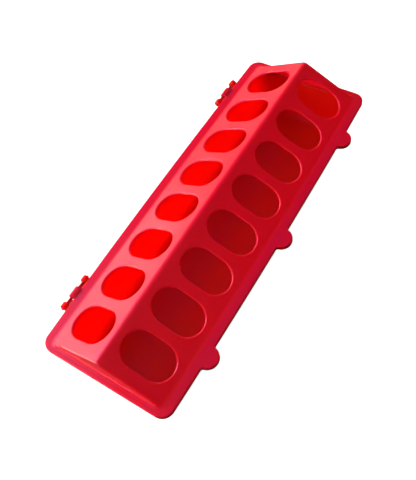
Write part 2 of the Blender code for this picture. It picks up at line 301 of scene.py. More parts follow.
def turned_bar(radius: float, length: float, centre: Vector, round_over: float, lies: Lies) -> Mesh:
    """A round bar with rounded ends.

    Args:
        radius: the bar's radius.
        length: its length.
        centre: its middle.
        round_over: radius of the rounding at its ends.
        lies: how it lies.

    Returns:
        A closed mesh.
    """
    shape = bmesh.new()
    bmesh.ops.create_cone(
        shape, cap_ends=True, segments=BAR_SIDES, radius1=radius, radius2=radius, depth=length
    )
    rims = [e for e in shape.edges if abs(e.verts[0].co.z - e.verts[1].co.z) < WELD]
    round_edges(shape, rims, round_over, ROUND_STEPS)
    if lies is Lies.ALONG:
        bmesh.ops.rotate(shape, verts=shape.verts[:], matrix=Matrix.Rotation(math.pi / 2, 3, "Y"))
    bmesh.ops.translate(shape, verts=shape.verts[:], vec=centre)
    return mesh_of(shape, "bar")


@dataclass(frozen=True)
class Plan:
    """What the lid and the tray share: their heights, their wall, and the outline of flange and rim.

    The outline's long sides are slightly bowed, by side_bow at the middle, and three finger tabs stand
    out from the front one.
    """

    rim_top: float = 0.038
    flange_top: float = 0.0401
    wall: float = 0.0018
    half_length: float = 0.1525
    end_half_width: float = 0.0527
    side_bow: float = 0.00185
    corner_radius: float = 0.009
    tab_places: Triple = (-0.103, 0.0, 0.103)
    tab_radius: float = 0.0083
    tab_reach: float = 0.0076
    tab_fillet: float = 0.0018
    corner_steps: int = 14
    side_steps: int = 60
    tab_steps: int = 30
    fillet_steps: int = 6

    def bowed(self, half_width: float, x: float) -> float:
        """Half width at x of an outline that is half_width wide at its ends."""
        return half_width + self.side_bow * (1 - (x / self.half_length) ** 2)

    def tab_centre(self, place: float) -> Point:
        """The centre of a finger tab's round end."""
        return (place, -self.bowed(self.end_half_width, place) + self.tab_radius - self.tab_reach)

    def tab(self, place: float) -> list[Point]:
        """A finger tab's edge from its left root to its right root.

        Args:
            place: x of the tab's middle.

        Returns:
            Points along the tab's edge.
        """
        middle = (place, self.tab_radius - self.tab_reach)
        drop = middle[1] + self.tab_fillet
        reach = math.sqrt((self.tab_radius + self.tab_fillet) ** 2 - drop**2)
        lean = math.atan2(drop, reach)
        edge = arc((place - reach, -self.tab_fillet), self.tab_fillet, math.pi / 2, lean, self.fillet_steps)
        edge += arc(middle, self.tab_radius, math.pi + lean, 2 * math.pi - lean, self.tab_steps)[1:-1]
        root = (place + reach, -self.tab_fillet)
        edge += arc(root, self.tab_fillet, math.pi - lean, math.pi / 2, self.fillet_steps)
        return [(x, y - self.bowed(self.end_half_width, x)) for x, y in edge]

    def rounded(self, half_length: float, half_width: float, radius: float) -> list[Point]:
        """A rounded rectangle with bowed sides, anticlockwise from its right end.

        Args:
            half_length: half its length.
            half_width: half its width at the ends.
            radius: its corner radius.

        Returns:
            The same number of points for any sizes.
        """
        reach = half_length - radius
        back = self.bowed(half_width, reach) - radius
        sides = spread(reach, -reach, self.side_steps)[1:-1]
        end = spread(-back, back, self.side_steps // 3)[1:-1]
        points = [(half_length, y) for y in end]
        points += arc((reach, back), radius, 0, math.pi / 2, self.corner_steps)
        points += [(x, self.bowed(half_width, x)) for x in sides]
        points += arc((-reach, back), radius, math.pi / 2, math.pi, self.corner_steps)
        points += [(-half_length, y) for y in reversed(end)]
        points += arc((-reach, -back), radius, math.pi, 1.5 * math.pi, self.corner_steps)
        points += [(x, -self.bowed(half_width, x)) for x in reversed(sides)]
        points += arc((reach, -back), radius, 1.5 * math.pi, 2 * math.pi, self.corner_steps)
        return points

    def outline(self) -> list[Point]:
        """The outline of flange and rim with its finger tabs.

        Returns:
            Its points, anticlockwise.
        """
        plain = self.rounded(self.half_length, self.end_half_width, self.corner_radius)
        room = self.tab_radius + 2 * self.tab_fillet
        front = -self.bowed(self.end_half_width, self.half_length) + self.corner_radius / 2
        kept = [p for p in plain if p[1] > front or all(abs(p[0] - t) > room for t in self.tab_places)]
        for place in self.tab_places:
            after = next(i for i, p in enumerate(kept) if p[1] < front and p[0] > place)
            kept[after:after] = self.tab(place)
        return kept


def srgb(code: str) -> tuple[float, float, float, float]:
    """A hex colour as linear red, green, blue and alpha."""
    values = [int(code[i : i + 2], 16) / 255 for i in (1, 3, 5)]
    linear = [v / 12.92 if v <= 0.04045 else ((v + 0.055) / 1.055) ** 2.4 for v in values]
    return (*linear, 1.0)


def add_node(
    tree: bpy.types.NodeTree, kind: str, settings: dict | None = None, links: dict | None = None
) -> bpy.types.Node:
    """Add a node with its settings and links.

    Args:
        tree: the node tree.
        kind: the node's type name without ShaderNode.
        settings: node properties by name, or input values by socket name or number.
        links: output sockets by the name or number of the input that they feed.

    Returns:
        The new node.
    """
    node = tree.nodes.new("ShaderNode" + kind)
    for key, value in (settings or {}).items():
        if isinstance(key, str) and hasattr(node, key):
            setattr(node, key, value)
        else:
            node.inputs[key].default_value = value
    for key, socket in (links or {}).items():
        tree.links.new(socket, node.inputs[key])
    return node


@dataclass(frozen=True)
class MouldedPolypropylene:
    """Injection-moulded polypropylene in a red masterbatch, lightly translucent in a thin wall.

    The mould's satin polish gives a soft, broad gloss; flow of the melt gives faint clouds of tone and
    gloss; handling gives fine scratches, and rubbed edges are a little paler and smoother.
    """

    name: str
    pigment: str
    cloud_pigment: str
    rubbed_pigment: str
    roughness: float = 0.35
    subsurface: float = 0.7
    free_path: Triple = (0.0035, 0.0003, 0.0003)
    specular: float = 0.35
    refraction: float = 1.49
    edge_polish: float = 0.2
    cloud_size: float = 0.045
    cloud_depth: float = 0.0006
    cloud_gloss: Point = (-0.04, 0.05)
    cloud_span: Point = (0.3, 0.7)
    grain_size: float = 0.0007
    grain_depth: float = 0.00006
    scratch_length: float = 0.02
    scratch_gap: float = 0.0012
    scratch_depth: float = 0.00003
    scratch_angle: float = math.radians(17)
    scratch_span: Point = (0.62, 0.72)
    scratch_dulling: float = 0.12

    def material(self) -> bpy.types.Material:
        """Build the material.

        Returns:
            A material that reads Object coordinates.
        """
        made = bpy.data.materials.new(self.name)
        made.use_nodes = True
        made.node_tree.nodes.clear()
        node = partial(add_node, made.node_tree)
        place = {"Vector": node("TexCoord").outputs["Object"]}
        clouds = node("TexNoise", {"Scale": 1 / self.cloud_size, "Detail": 3.0, "Roughness": 0.55}, place)
        # The mould's polish is finer than 0.1 mm; drawn coarser so that it shows
        grain = node("TexNoise", {"Scale": 1 / self.grain_size, "Detail": 2.0, "Roughness": 0.6}, place)
        along, across = 1 / self.scratch_length, 1 / self.scratch_gap
        lay = {"Rotation": (0.0, 0.0, self.scratch_angle), "Scale": (along, across, across)}
        stretch = node("Mapping", lay, place)
        strokes = node("TexNoise", {"Scale": 1.0, "Detail": 1.0}, {"Vector": stretch.outputs["Vector"]})
        low, high = self.scratch_span
        scratches = node(
            "MapRange",
            {"From Min": low, "From Max": high, "To Min": 0.0, "To Max": 1.0},
            {"Value": strokes.outputs["Fac"]},
        )
        edge = node("Attribute", {"attribute_name": "edge_wear"})
        tone = node(
            "Mix",
            {"data_type": "RGBA", 6: srgb(self.pigment), 7: srgb(self.cloud_pigment)},
            {0: clouds.outputs["Fac"]},
        )
        rubbed = node(
            "Mix",
            {"data_type": "RGBA", 7: srgb(self.rubbed_pigment)},
            {0: edge.outputs["Fac"], 6: tone.outputs[2]},
        )
        low, high = self.cloud_span
        glossiest, dullest = (self.roughness + change for change in self.cloud_gloss)
        gloss = node(
            "MapRange",
            {"From Min": low, "From Max": high, "To Min": glossiest, "To Max": dullest},
            {"Value": clouds.outputs["Fac"]},
        )
        dulled = node(
            "Math",
            {"operation": "MULTIPLY_ADD", 1: self.scratch_dulling},
            {0: scratches.outputs["Result"], 2: gloss.outputs["Result"]},
        )
        polished = node(
            "Math",
            {"operation": "MULTIPLY_ADD", 1: -self.edge_polish},
            {0: edge.outputs["Fac"], 2: dulled.outputs["Value"]},
        )
        relief = {}
        for height, settings in (
            (clouds.outputs["Fac"], {"Strength": 0.35, "Distance": self.cloud_depth}),
            (grain.outputs["Fac"], {"Strength": 0.12, "Distance": self.grain_depth}),
            (scratches.outputs["Result"], {"Strength": 0.2, "Distance": self.scratch_depth, "invert": True}),
        ):
            bump = node("Bump", settings, {"Height": height, **relief})
            relief = {"Normal": bump.outputs["Normal"]}
        skin = node(
            "BsdfPrincipled",
            {
                "Subsurface Weight": self.subsurface,
                "Subsurface Radius": self.free_path,
                "Subsurface Scale": 1.0,
                "Specular IOR Level": self.specular,
                "IOR": self.refraction,
            },
            {"Base Color": rubbed.outputs[2], "Roughness": polished.outputs["Value"], **relief},
        )
        node("OutputMaterial", None, {"Surface": skin.outputs["BSDF"]})
        return made


@dataclass
class Hinges:
    """The two hinges: knuckles on the lid, clips on the tray, and a pin through each."""

    plan: Plan
    finish: MouldedPolypropylene
    places: Point = (-0.108, 0.108)
    offset: float = 0.0030
    height: float = 0.03815
    pin_radius: float = 0.0010
    pin_length: float = 0.031
    pin_round: float = 0.0004
    bore_radius: float = 0.0013
    knuckle_radius: float = 0.0024
    knuckle_length: float = 0.009
    clip_radius: float = 0.0026
    clip_length: float = 0.005
    clip_spacing: float = 0.024
    clip_mouth: float = 0.0016
    clip_turn: float = math.radians(45)
    arm_root: float = 0.0020
    arm_margin: float = 0.0001
    ramp_meets: float = math.radians(12)
    edge_round: float = 0.00025
    web_gap: float = 0.0002
    web_reach: float = 0.0006
    ring_steps: int = 40
    pieces: list[Piece] = field(default_factory=list)

    @property
    def axis(self) -> Point:
        """The hinge axis, as y and z."""
        return (self.plan.bowed(self.plan.end_half_width, self.places[1]) + self.offset, self.height)

    def arm_levels(self, top: float) -> Point:
        """Under and upper face, above the hinge axis, of an arm on a sheet whose outer side is at top."""
        underside = top - self.plan.wall
        low = underside + self.arm_margin - self.height
        return (low, underside + self.plan.wall - self.arm_margin - self.height)

    def root(self, x: float) -> float:
        """How far inside the axis an arm starts, as a negative y."""
        return self.plan.bowed(self.plan.end_half_width, x) - self.arm_root - self.axis[0]

    def beside(self, distance: float) -> list[float]:
        """The x of the places that lie a distance to the left and to the right of each hinge's middle."""
        return [place + side * distance for place in self.places for side in (-1, 1)]

    def profile(self, loops: list[list[Point]], x: float, length: float) -> Mesh:
        """A bar of constant section along the hinge axis, with its ends' edges rounded.

        Args:
            loops: outlines of the section in y and z, about the axis: the outer one and any holes.
            x: the middle of the bar.
            length: its length.

        Returns:
            A closed mesh.
        """
        shape = bmesh.new()
        edges: list[Edge] = []
        for loop in loops:
            end = [Vector((x - length / 2, self.axis[0] + y, self.axis[1] + z)) for y, z in loop]
            edges += closed_loop(shape, end)
        bmesh.ops.triangle_fill(shape, use_beauty=True, edges=edges, normal=(1, 0, 0))
        made = bmesh.ops.extrude_face_region(shape, geom=shape.faces[:])["geom"]
        moved = [item for item in made if isinstance(item, Vert)]
        bmesh.ops.translate(shape, verts=moved, vec=(length, 0, 0))
        bmesh.ops.recalc_face_normals(shape, faces=shape.faces[:])
        ends = [
            e
            for e in shape.edges
            if len(e.link_faces) == 2 and abs(e.link_faces[0].normal.x - e.link_faces[1].normal.x) > FACING
        ]
        round_edges(shape, ends, self.edge_round, SMALL_ROUND_STEPS)
        # Rings next to the rounded ends keep the wear of those ends from spreading along the bar
        for sign in (-1, 1):
            ring = (x + sign * (length / 2 - 2 * self.edge_round), 0, 0)
            geometry = shape.verts[:] + shape.edges[:] + shape.faces[:]
            bmesh.ops.bisect_plane(shape, geom=geometry, dist=WELD, plane_co=ring, plane_no=(1, 0, 0))
        return mesh_of(shape, "profile")

    def knuckles(self) -> list[Mesh]:
        """The lid's knuckles: a bored ring that an arm joins to the flange with a low ramp.

        Returns:
            One closed mesh for each hinge.
        """
        low, high = self.arm_levels(self.plan.flange_top)
        radius = self.knuckle_radius
        upper = math.pi / 2 + self.ramp_meets
        lower = -math.pi - math.asin(low / radius)
        ring = arc((0, 0), radius, upper, lower, self.ring_steps)
        bore = arc((0, 0), self.bore_radius, 0, 2 * math.pi, self.ring_steps)[:-1]
        return [
            self.profile([[(self.root(x), high), *ring, (self.root(x), low)], bore], x, self.knuckle_length)
            for x in self.places
        ]

    def clips(self) -> list[Mesh]:
        """The tray's clips: a ring with a mouth, turned up and outwards, on an arm from the rim.

        Returns:
            Two closed meshes for each hinge.
        """
        low, high = self.arm_levels(self.plan.rim_top)
        radius = self.clip_radius
        inner_gap = math.asin(self.clip_mouth / 2 / self.bore_radius)
        outer_gap = math.asin(self.clip_mouth / 2 / radius)
        facing = math.pi / 2 - self.clip_turn
        upper = math.pi - math.asin(high / radius)
        lower = -math.pi - math.asin(low / radius)
        round_bore = facing - inner_gap + 2 * math.pi
        ring = arc((0, 0), radius, upper, facing + outer_gap, self.ring_steps // 3)
        ring += arc((0, 0), self.bore_radius, facing + inner_gap, round_bore, self.ring_steps)
        ring += arc((0, 0), radius, facing - outer_gap, lower, self.ring_steps)
        return [
            self.profile([[(self.root(x), high), *ring, (self.root(x), low)]], x, self.clip_length)
            for x in self.beside(self.clip_spacing / 2)
        ]

    def webs(self) -> list[Mesh]:
        """Thin webs that run out from the tray's rim under the pins, between knuckle and clips.

        Returns:
            Two closed meshes for each hinge.
        """
        low = self.arm_levels(self.plan.rim_top)[0] + self.height
        high = self.height - self.pin_radius - self.web_gap
        start = self.knuckle_length / 2 + 2 * self.web_gap
        end = (self.clip_spacing - self.clip_length) / 2 + self.edge_round
        meshes = []
        for x in self.beside((start + end) / 2):
            root, tip = self.axis[0] + self.root(x), self.axis[0] + self.web_reach
            shape = bmesh.new()
            bmesh.ops.create_cube(shape, size=1.0)
            bmesh.ops.scale(shape, verts=shape.verts[:], vec=(end - start, tip - root, high - low))
            bmesh.ops.translate(shape, verts=shape.verts[:], vec=(x, (root + tip) / 2, (high + low) / 2))
            round_edges(shape, shape.edges[:], self.edge_round / 2, SMALL_ROUND_STEPS)
            meshes.append(mesh_of(shape, "web"))
        return meshes

    def build(self) -> None:
        """Model and dress the hinge pins."""
        material = self.finish.material()
        for name, x in zip(("left", "right"), self.places):
            middle = Vector((x, *self.axis))
            rod = turned_bar(self.pin_radius, self.pin_length, middle, self.pin_round, Lies.ALONG)
            piece = joined(f"hinge_rod_{name}", [rod], material)
            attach(piece, "lid")
            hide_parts(f"hinge_pin_{name}")
            self.pieces.append(piece)


@dataclass(frozen=True)
class Station:
    """One cross-section of the roof's foot, from the panel's border out to the flat flange.

    Attributes:
        start: the border point in plan.
        base: where the roof meets the flange, in plan.
        rise: height of the upright wall there.
    """

    start: Vector
    base: Vector
    rise: float

    @property
    def run(self) -> float:
        """Level distance from the border to the wall."""
        return (self.base - self.start).length

    @property
    def outward(self) -> Vector:
        """Unit direction in plan from the border to the base."""
        return (self.base - self.start).normalized()


@dataclass
class Lid:
    """The lid: a flat flange with tabs and a gabled roof with a row of feeding holes in each slope."""

    plan: Plan
    finish: MouldedPolypropylene
    hinges: Hinges
    roof_half_length: float = 0.1465
    roof_half_width: float = 0.0454
    roof_height: float = 0.0227
    ridge_radius: float = 0.0045
    foot_corner_radius: float = 0.0040
    eaves_softness: float = 0.0030
    verge_softness: float = 0.0052
    softening_steps: int = 24
    foot_collar: float = 0.0030
    foot_rows: int = 16
    row_samples: int = 240
    row_weight: float = 0.12
    bend_parts: int = 3
    holes_per_slope: int = 8
    hole_pitch: float = 0.0353
    hole_length: float = 0.0392
    hole_width: float = 0.0263
    hole_centre_up_slope: float = 0.0256
    hole_rim: float = 0.0015
    hole_radius: float = 0.0012
    inner_radius: float = 0.0004
    flange_border: float = 0.0010
    eaves_margin: float = 0.0024
    ridge_margin: float = 0.0023
    cells_across: int = 12
    cells_up: int = 20
    ridge_cuts: int = 7
    corner_cuts: int = 6
    edge_radius: float = 0.0008
    stud_radius: float = 0.0015
    stud_drop: float = 0.0029
    stud_round: float = 0.0004
    pieces: list[Piece] = field(default_factory=list)

    @property
    def panel_reach(self) -> float:
        """Half the length of the stretch of roof that holds the holes."""
        return self.holes_per_slope * self.hole_pitch / 2

    @property
    def panel_brink(self) -> float:
        """Half the width of that stretch at its ends."""
        return self.half_width(self.panel_reach) - self.eaves_margin

    def half_width(self, x: float) -> float:
        """Half the roof's width at its foot."""
        return self.plan.bowed(self.roof_half_width, x)

    def roof_rise(self, x: float, y: float) -> float:
        """Height of the roof's outer face above the flange.

        Args:
            x: place along the feeder.
            y: place across it.

        Returns:
            The rise in metres, none outside the foot.
        """
        slope = math.atan2(self.roof_height, self.roof_half_width)
        tip = self.ridge_radius * math.sin(slope)
        level = abs(y) * self.roof_half_width / self.half_width(x)
        if level < tip:
            return self.roof_height - self.ridge_radius + math.sqrt(self.ridge_radius**2 - level**2)
        top = self.roof_height - self.ridge_radius * (1 - math.cos(slope))
        return max(0.0, (self.roof_half_width - level) * top / (self.roof_half_width - tip))

    def draped(self, x: float, y: float) -> Vector:
        """The point of the lid's outer face over a point of the plan."""
        return Vector((x, y, self.plan.flange_top + self.roof_rise(x, y)))

    def hole_loop(self, centre: float, side: Side, grow: float) -> list[Vector]:
        """A feeding hole's rim on the slope, point for point with cell_border.

        Args:
            centre: x of the hole's middle.
            side: the slope that it is in.
            grow: how far outside the rim the loop runs.

        Returns:
            Points from the lower left, by the lower end, the right side, the upper end and the left side.
        """
        radius = self.hole_width / 2 + grow
        straight = (self.hole_length - self.hole_width) / 2
        eighth = math.pi / 4
        lower = arc((0, -straight), radius, -3 * eighth, -eighth, self.cells_across)
        upper = arc((0, straight), radius, eighth, 3 * eighth, self.cells_across)
        bend = radius * eighth
        right = []
        for q in spread(0, 2 * bend + 2 * straight, self.cells_up)[1:-1]:
            if q < bend:
                right.append(on_circle((0, -straight), radius, q / radius - eighth))
            elif q < bend + 2 * straight:
                right.append((radius, q - bend - straight))
            else:
                right.append(on_circle((0, straight), radius, (q - bend - 2 * straight) / radius))
        left = [(-x, t) for x, t in reversed(right)]
        half_width = self.half_width(centre)
        fall = math.cos(math.atan2(self.roof_height, half_width))
        return [
            self.draped(centre + x, side.value * (half_width - (self.hole_centre_up_slope + t) * fall))
            for x, t in lower + right + upper + left
        ]

    def cell_border(self, centre: float, side: Side) -> list[Vector]:
        """The rectangle of roof round one hole, point for point with hole_loop.

        Args:
            centre: x of the hole's middle.
            side: the slope that it is in.

        Returns:
            Its points, in the order of hole_loop.
        """
        half = self.hole_pitch / 2
        across = spread(centre - half, centre + half, self.cells_across)

        def at(x: float, share: float) -> Vector:
            low = self.half_width(x) - self.eaves_margin
            return self.draped(x, side.value * (low + (self.ridge_margin - low) * share))

        shares = spread(0, 1, self.cells_up)[1:-1]
        points = [at(x, 0) for x in across]
        points += [at(across[-1], share) for share in shares]
        points += [at(x, 1) for x in reversed(across)]
        points += [at(across[0], share) for share in reversed(shares)]
        return points

    def add_slopes(self, shape: Shape) -> None:
        """Add both slopes as cells with a hole each, and close the ridge between them.

        Args:
            shape: the bmesh to add to.
        """
        for side in Side:
            for number in range(self.holes_per_slope):
                centre = (number - (self.holes_per_slope - 1) / 2) * self.hole_pitch
                rim = closed_loop(shape, self.hole_loop(centre, side, 0.0))
                collar = closed_loop(shape, self.hole_loop(centre, side, self.hole_rim))
                border = closed_loop(shape, self.cell_border(centre, side))
                bmesh.ops.bridge_loops(shape, edges=rim + collar)
                bmesh.ops.bridge_loops(shape, edges=collar + border)
        bmesh.ops.remove_doubles(shape, verts=shape.verts[:], dist=WELD)
        brink = [e for e in shape.edges if all(abs(v.co.y) < self.ridge_margin + WELD for v in e.verts)]
        across = bmesh.ops.bridge_loops(shape, edges=brink)["edges"]
        bmesh.ops.subdivide_edges(shape, edges=across, cuts=self.ridge_cuts, use_grid_fill=True)
        for vertex in shape.verts:
            if abs(vertex.co.y) < self.ridge_margin:
                vertex.co = self.draped(vertex.co.x, vertex.co.y)

    def panel_border(self, shape: Shape) -> list[Edge]:
        """The outer border of the slopes, without the holes' rims.

        Args:
            shape: the bmesh that holds the slopes.

        Returns:
            The border's edges.
        """

        def outer(vertex: Vert) -> bool:
            x, y, _ = vertex.co
            eaves = self.half_width(x) - self.eaves_margin
            return abs(x) > self.panel_reach - WELD or abs(y) > eaves - NEAR

        return [e for e in shape.edges if e.is_boundary and all(outer(v) for v in e.verts)]

    def foot_of(self, point: Vector) -> Vector:
        """Where the roof's foot lies, in plan, for a point of the panel's border.

        The border's square corners open out into the foot's round ones, by length along both.

        Args:
            point: the point of the border.

        Returns:
            The point of the foot.
        """
        x, y = abs(point.x), abs(point.y)
        signs = (math.copysign(1, point.x), math.copysign(1, point.y))
        radius = self.foot_corner_radius
        brink = self.panel_brink
        step_x = self.hole_pitch / self.cells_across
        step_y = (brink - self.ridge_margin) / self.cells_up
        last_x = self.panel_reach - step_x
        if x <= last_x + WELD:
            return Vector((point.x, signs[1] * self.half_width(x), 0))
        if y <= brink - step_y + WELD:
            return Vector((signs[0] * self.roof_half_length, point.y, 0))
        straight_x = self.roof_half_length - radius - last_x
        turn = radius * math.pi / 2
        straight_y = self.eaves_margin + step_y - radius
        gone = x - last_x if y > brink - WELD else step_x + brink - y
        along = gone / (step_x + step_y) * (straight_x + turn + straight_y)
        centre = (self.roof_half_length - radius, self.half_width(self.roof_half_length - radius) - radius)
        if along < straight_x:
            foot = (last_x + along, self.half_width(last_x + along))
        elif along < straight_x + turn:
            foot = on_circle(centre, radius, math.pi / 2 - (along - straight_x) / radius)
        else:
            foot = (self.roof_half_length, centre[1] - (along - straight_x - turn))
        return Vector((signs[0] * foot[0], signs[1] * foot[1], 0))

    def raw_foot(self, station: Station, along: float) -> Vector:
        """A point of the unsoftened cross-section: down the roof, down the wall, out on the flange.

        Args:
            station: the cross-section.
            along: length along it from the panel's border.

        Returns:
            The point.
        """
        if along <= station.run:
            place = station.start + station.outward * along
            return self.draped(place.x, place.y)
        fallen = min(along - station.run, station.rise)
        out = max(0.0, along - station.run - station.rise)
        place = station.base + station.outward * out
        return Vector((place.x, place.y, self.plan.flange_top + station.rise - fallen))

    def softness(self, station: Station) -> float:
        """Length over which a cross-section's bends are eased: short at the eaves, long at the ends."""
        endwise = abs(station.outward.x)
        return self.eaves_softness + (self.verge_softness - self.eaves_softness) * endwise

    def soft_foot(self, station: Station, along: float) -> Vector:
        """A point of the cross-section, softened by averaging it over a short length.

        Args:
            station: the cross-section.
            along: length along it from the panel's border.

        Returns:
            The point.
        """
        half = self.softness(station) / 2
        points = [self.raw_foot(station, along + s) for s in spread(-half, half, self.softening_steps)]
        return sum(points, Vector((0, 0, 0))) / len(points)

    def foot_stops(self, station: Station) -> list[float]:
        """Places of the rows along a cross-section, closer where it bends.

        Args:
            station: the cross-section.

        Returns:
            A length from the panel's border for each row.
        """
        length = station.run + station.rise + self.foot_collar
        samples = spread(0, length, self.row_samples)
        spot = self.softness(station) / self.bend_parts
        weights = [
            self.row_weight
            + math.exp(-(((s - station.run) / spot) ** 2))
            + math.exp(-(((s - station.run - station.rise) / spot) ** 2))
            for s in samples
        ]
        totals = [0.0, *accumulate((before + after) / 2 for before, after in pairwise(weights))]
        stops = []
        for row in range(1, self.foot_rows):
            target = totals[-1] * row / self.foot_rows
            index = next(i for i, t in enumerate(totals) if t >= target)
            share = (target - totals[index - 1]) / (totals[index] - totals[index - 1])
            stops.append(samples[index - 1] + share * (samples[index] - samples[index - 1]))
        return stops + [length]

    def add_foot(self, shape: Shape) -> list[Edge]:
        """Sweep the verges, gable walls and the soft foot round the slopes, down to the flange.

        Args:
            shape: the bmesh that holds the slopes.

        Returns:
            The loop of edges where the sweep ends on the flat flange.
        """
        corner = Vector((self.panel_reach, self.panel_brink))
        near = [
            e
            for e in self.panel_border(shape)
            if any((Vector((abs(v.co.x), abs(v.co.y))) - corner).length < NEAR for v in e.verts)
        ]
        bmesh.ops.subdivide_edges(shape, edges=near, cuts=self.corner_cuts)
        border = self.panel_border(shape)
        paths = {}
        for vertex in {v for e in border for v in e.verts}:
            start = Vector((vertex.co.x, vertex.co.y, 0))
            base = self.foot_of(vertex.co)
            station = Station(start, base, self.roof_rise(base.x, base.y))
            paths[vertex] = (station, self.foot_stops(station))
        for row in range(self.foot_rows):

            def place(old: Vert, row: int = row) -> Vector:
                station, stops = paths[old]
                return self.soft_foot(station, stops[row])

            border = extrude_row(shape, border, place, paths)
        return border

    def rounding(self, edge: Edge) -> float:
        """How far an edge of the wall is rounded: most on the outer side of the feeding holes.

        Args:
            edge: the edge.

        Returns:
            The radius.
        """
        middle = (edge.verts[0].co + edge.verts[1].co) / 2
        if abs(middle.x) > self.panel_reach or abs(middle.y) > self.half_width(middle.x):
            return self.edge_radius
        faces_up = max(f.normal.z for f in edge.link_faces) > FACING
        return self.hole_radius if faces_up else self.inner_radius

    def moulding(self) -> Mesh:
        """The lid's main shell, as a closed mesh."""
        shape = bmesh.new()
        self.add_slopes(shape)
        inner = self.add_foot(shape)
        outline = closed_loop(shape, raised(self.plan.outline(), self.plan.flange_top))
        fill_flat(shape, inner + outline, self.flange_border)
        face_up(shape, self.plan.flange_top)
        return walled(mesh_of(shape, "lid_sheet"), self.plan.wall, self.rounding)

    def studs(self) -> list[Mesh]:
        """The snap studs under the finger tabs.

        Returns:
            A closed mesh for each.
        """
        root = self.plan.flange_top - self.plan.wall / 2
        tip = self.plan.flange_top - self.plan.wall - self.stud_drop
        centres = raised(map(self.plan.tab_centre, self.plan.tab_places), (root + tip) / 2)
        return [turned_bar(self.stud_radius, root - tip, c, self.stud_round, Lies.UPRIGHT) for c in centres]

    def build(self) -> None:
        """Model and dress the lid, with its studs and knuckles."""
        shells = [self.moulding(), *self.studs(), *self.hinges.knuckles()]
        piece = joined("lid_moulding", shells, self.finish.material())
        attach(piece, "lid")
        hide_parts("lid")
        self.pieces.append(piece)


@dataclass
class Tray:
    """The feed tray: a tapered tub with a flat rim, finger tabs and hinge clips."""

    plan: Plan
    finish: MouldedPolypropylene
    hinges: Hinges
    mouth_half_length: float = 0.1462
    mouth_half_width: float = 0.0450
    mouth_corner_radius: float = 0.010
    mouth_rounding: float = 0.0021
    mouth_collar: float = 0.0028
    side_draft: float = 0.0095
    end_draft: float = 0.0060
    floor_corner_radius: float = 0.0075
    floor_fillet: float = 0.0057
    floor_borders: int = 2
    fillet_steps: int = 9
    wall_steps: int = 6
    edge_radius: float = 0.00045
    border: float = 0.0008
    socket_radius: float = 0.0018
    socket_steps: int = 32
    pieces: list[Piece] = field(default_factory=list)

    def levels(self) -> list[Point]:
        """The wall's profile from the floor to the rim.

        Returns:
            For each level, how far in it lies from the mouth's line, and its height.
        """
        bottom = self.plan.wall
        quarter = math.pi / 2
        points = [
            (self.floor_fillet * (1 - math.sin(a)), bottom + self.floor_fillet * (1 - math.cos(a)))
            for a in spread(0, quarter, self.fillet_steps)
        ]
        top = self.plan.rim_top - self.mouth_rounding
        points += [(0.0, z) for z in spread(points[-1][1], top, self.wall_steps)[1:]]
        points += [
            (-self.mouth_rounding * (1 - math.cos(a)), top + self.mouth_rounding * math.sin(a))
            for a in spread(0, quarter, self.fillet_steps)[1:]
        ]
        return points + [(-self.mouth_collar, self.plan.rim_top)]

    def level_loop(self, tuck: float, z: float) -> list[Vector]:
        """The tub's inside outline at one level of its profile.

        Args:
            tuck: how far in the level lies.
            z: its height.

        Returns:
            The outline's points.
        """
        down = (self.plan.rim_top - z) / self.plan.rim_top
        half_length = self.mouth_half_length - tuck - self.end_draft * down
        half_width = self.mouth_half_width - tuck - self.side_draft * down
        taper = self.floor_corner_radius - self.mouth_corner_radius
        radius = self.mouth_corner_radius + taper * down - tuck / 2
        return raised(self.plan.rounded(half_length, half_width, radius), z)

    def moulding(self) -> Mesh:
        """The tray's main shell.

        Returns:
            A closed mesh.
        """
        shape = bmesh.new()
        loops = [closed_loop(shape, self.level_loop(tuck, z)) for tuck, z in self.levels()]
        for lower, upper in pairwise(loops):
            bmesh.ops.bridge_loops(shape, edges=lower + upper)
        base = bmesh.ops.holes_fill(shape, edges=loops[0], sides=0)["faces"]
        for _ in range(self.floor_borders):
            bmesh.ops.inset_region(shape, faces=base, use_even_offset=True, thickness=2 * self.border)
        top = self.plan.rim_top
        edges = loops[-1] + closed_loop(shape, raised(self.plan.outline(), top))
        for place in self.plan.tab_places:
            centre = self.plan.tab_centre(place)
            hole = arc(centre, self.socket_radius, 0, 2 * math.pi, self.socket_steps)[:-1]
            edges += closed_loop(shape, raised(hole, top))
        fill_flat(shape, edges, self.border)
        face_up(shape, top)
        return walled(mesh_of(shape, "tray_sheet"), self.plan.wall, lambda edge: self.edge_radius)

    def build(self) -> None:
        """Model and dress the tray, with its hinge clips."""
        shells = [self.moulding(), *self.hinges.clips(), *self.hinges.webs()]
        piece = joined("tray_moulding", shells, self.finish.material())
        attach(piece, "tray")
        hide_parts("tray")
        self.pieces.append(piece)


@dataclass(frozen=True)
class SoftBox:
    """A large soft light that shines at the feeder.

    It stands at an azimuth in degrees from +X towards +Y and at an elevation in degrees. Its size is its
    width and height, and its power is in watts.
    """

    name: str
    azimuth: float
    elevation: float
    size: Point
    power: float
    shows: Shows
    distance: float = 1.2
    colour: str = "#ffffff"

    def add(self) -> None:
        """Put the light in the scene."""
        data = bpy.data.lights.new(self.name, "AREA")
        data.shape = "RECTANGLE"
        data.size, data.size_y = self.size
        data.energy = self.power
        data.color = srgb(self.colour)[:3]
        lamp = bpy.data.objects.new(self.name, data)
        a, e = math.radians(self.azimuth), math.radians(self.elevation)
        towards = Vector((math.cos(a) * math.cos(e), math.sin(a) * math.cos(e), math.sin(e)))
        lamp.location = towards * self.distance + AIM
        lamp.rotation_mode = "QUATERNION"
        lamp.rotation_quaternion = towards.to_track_quat("Z", "Y")
        lamp.visible_glossy = self.shows is Shows.GLOSS
        lamp.visible_diffuse = self.shows is Shows.BODY
        lamp.visible_transmission = self.shows is Shows.BODY
        bpy.context.scene.collection.objects.link(lamp)


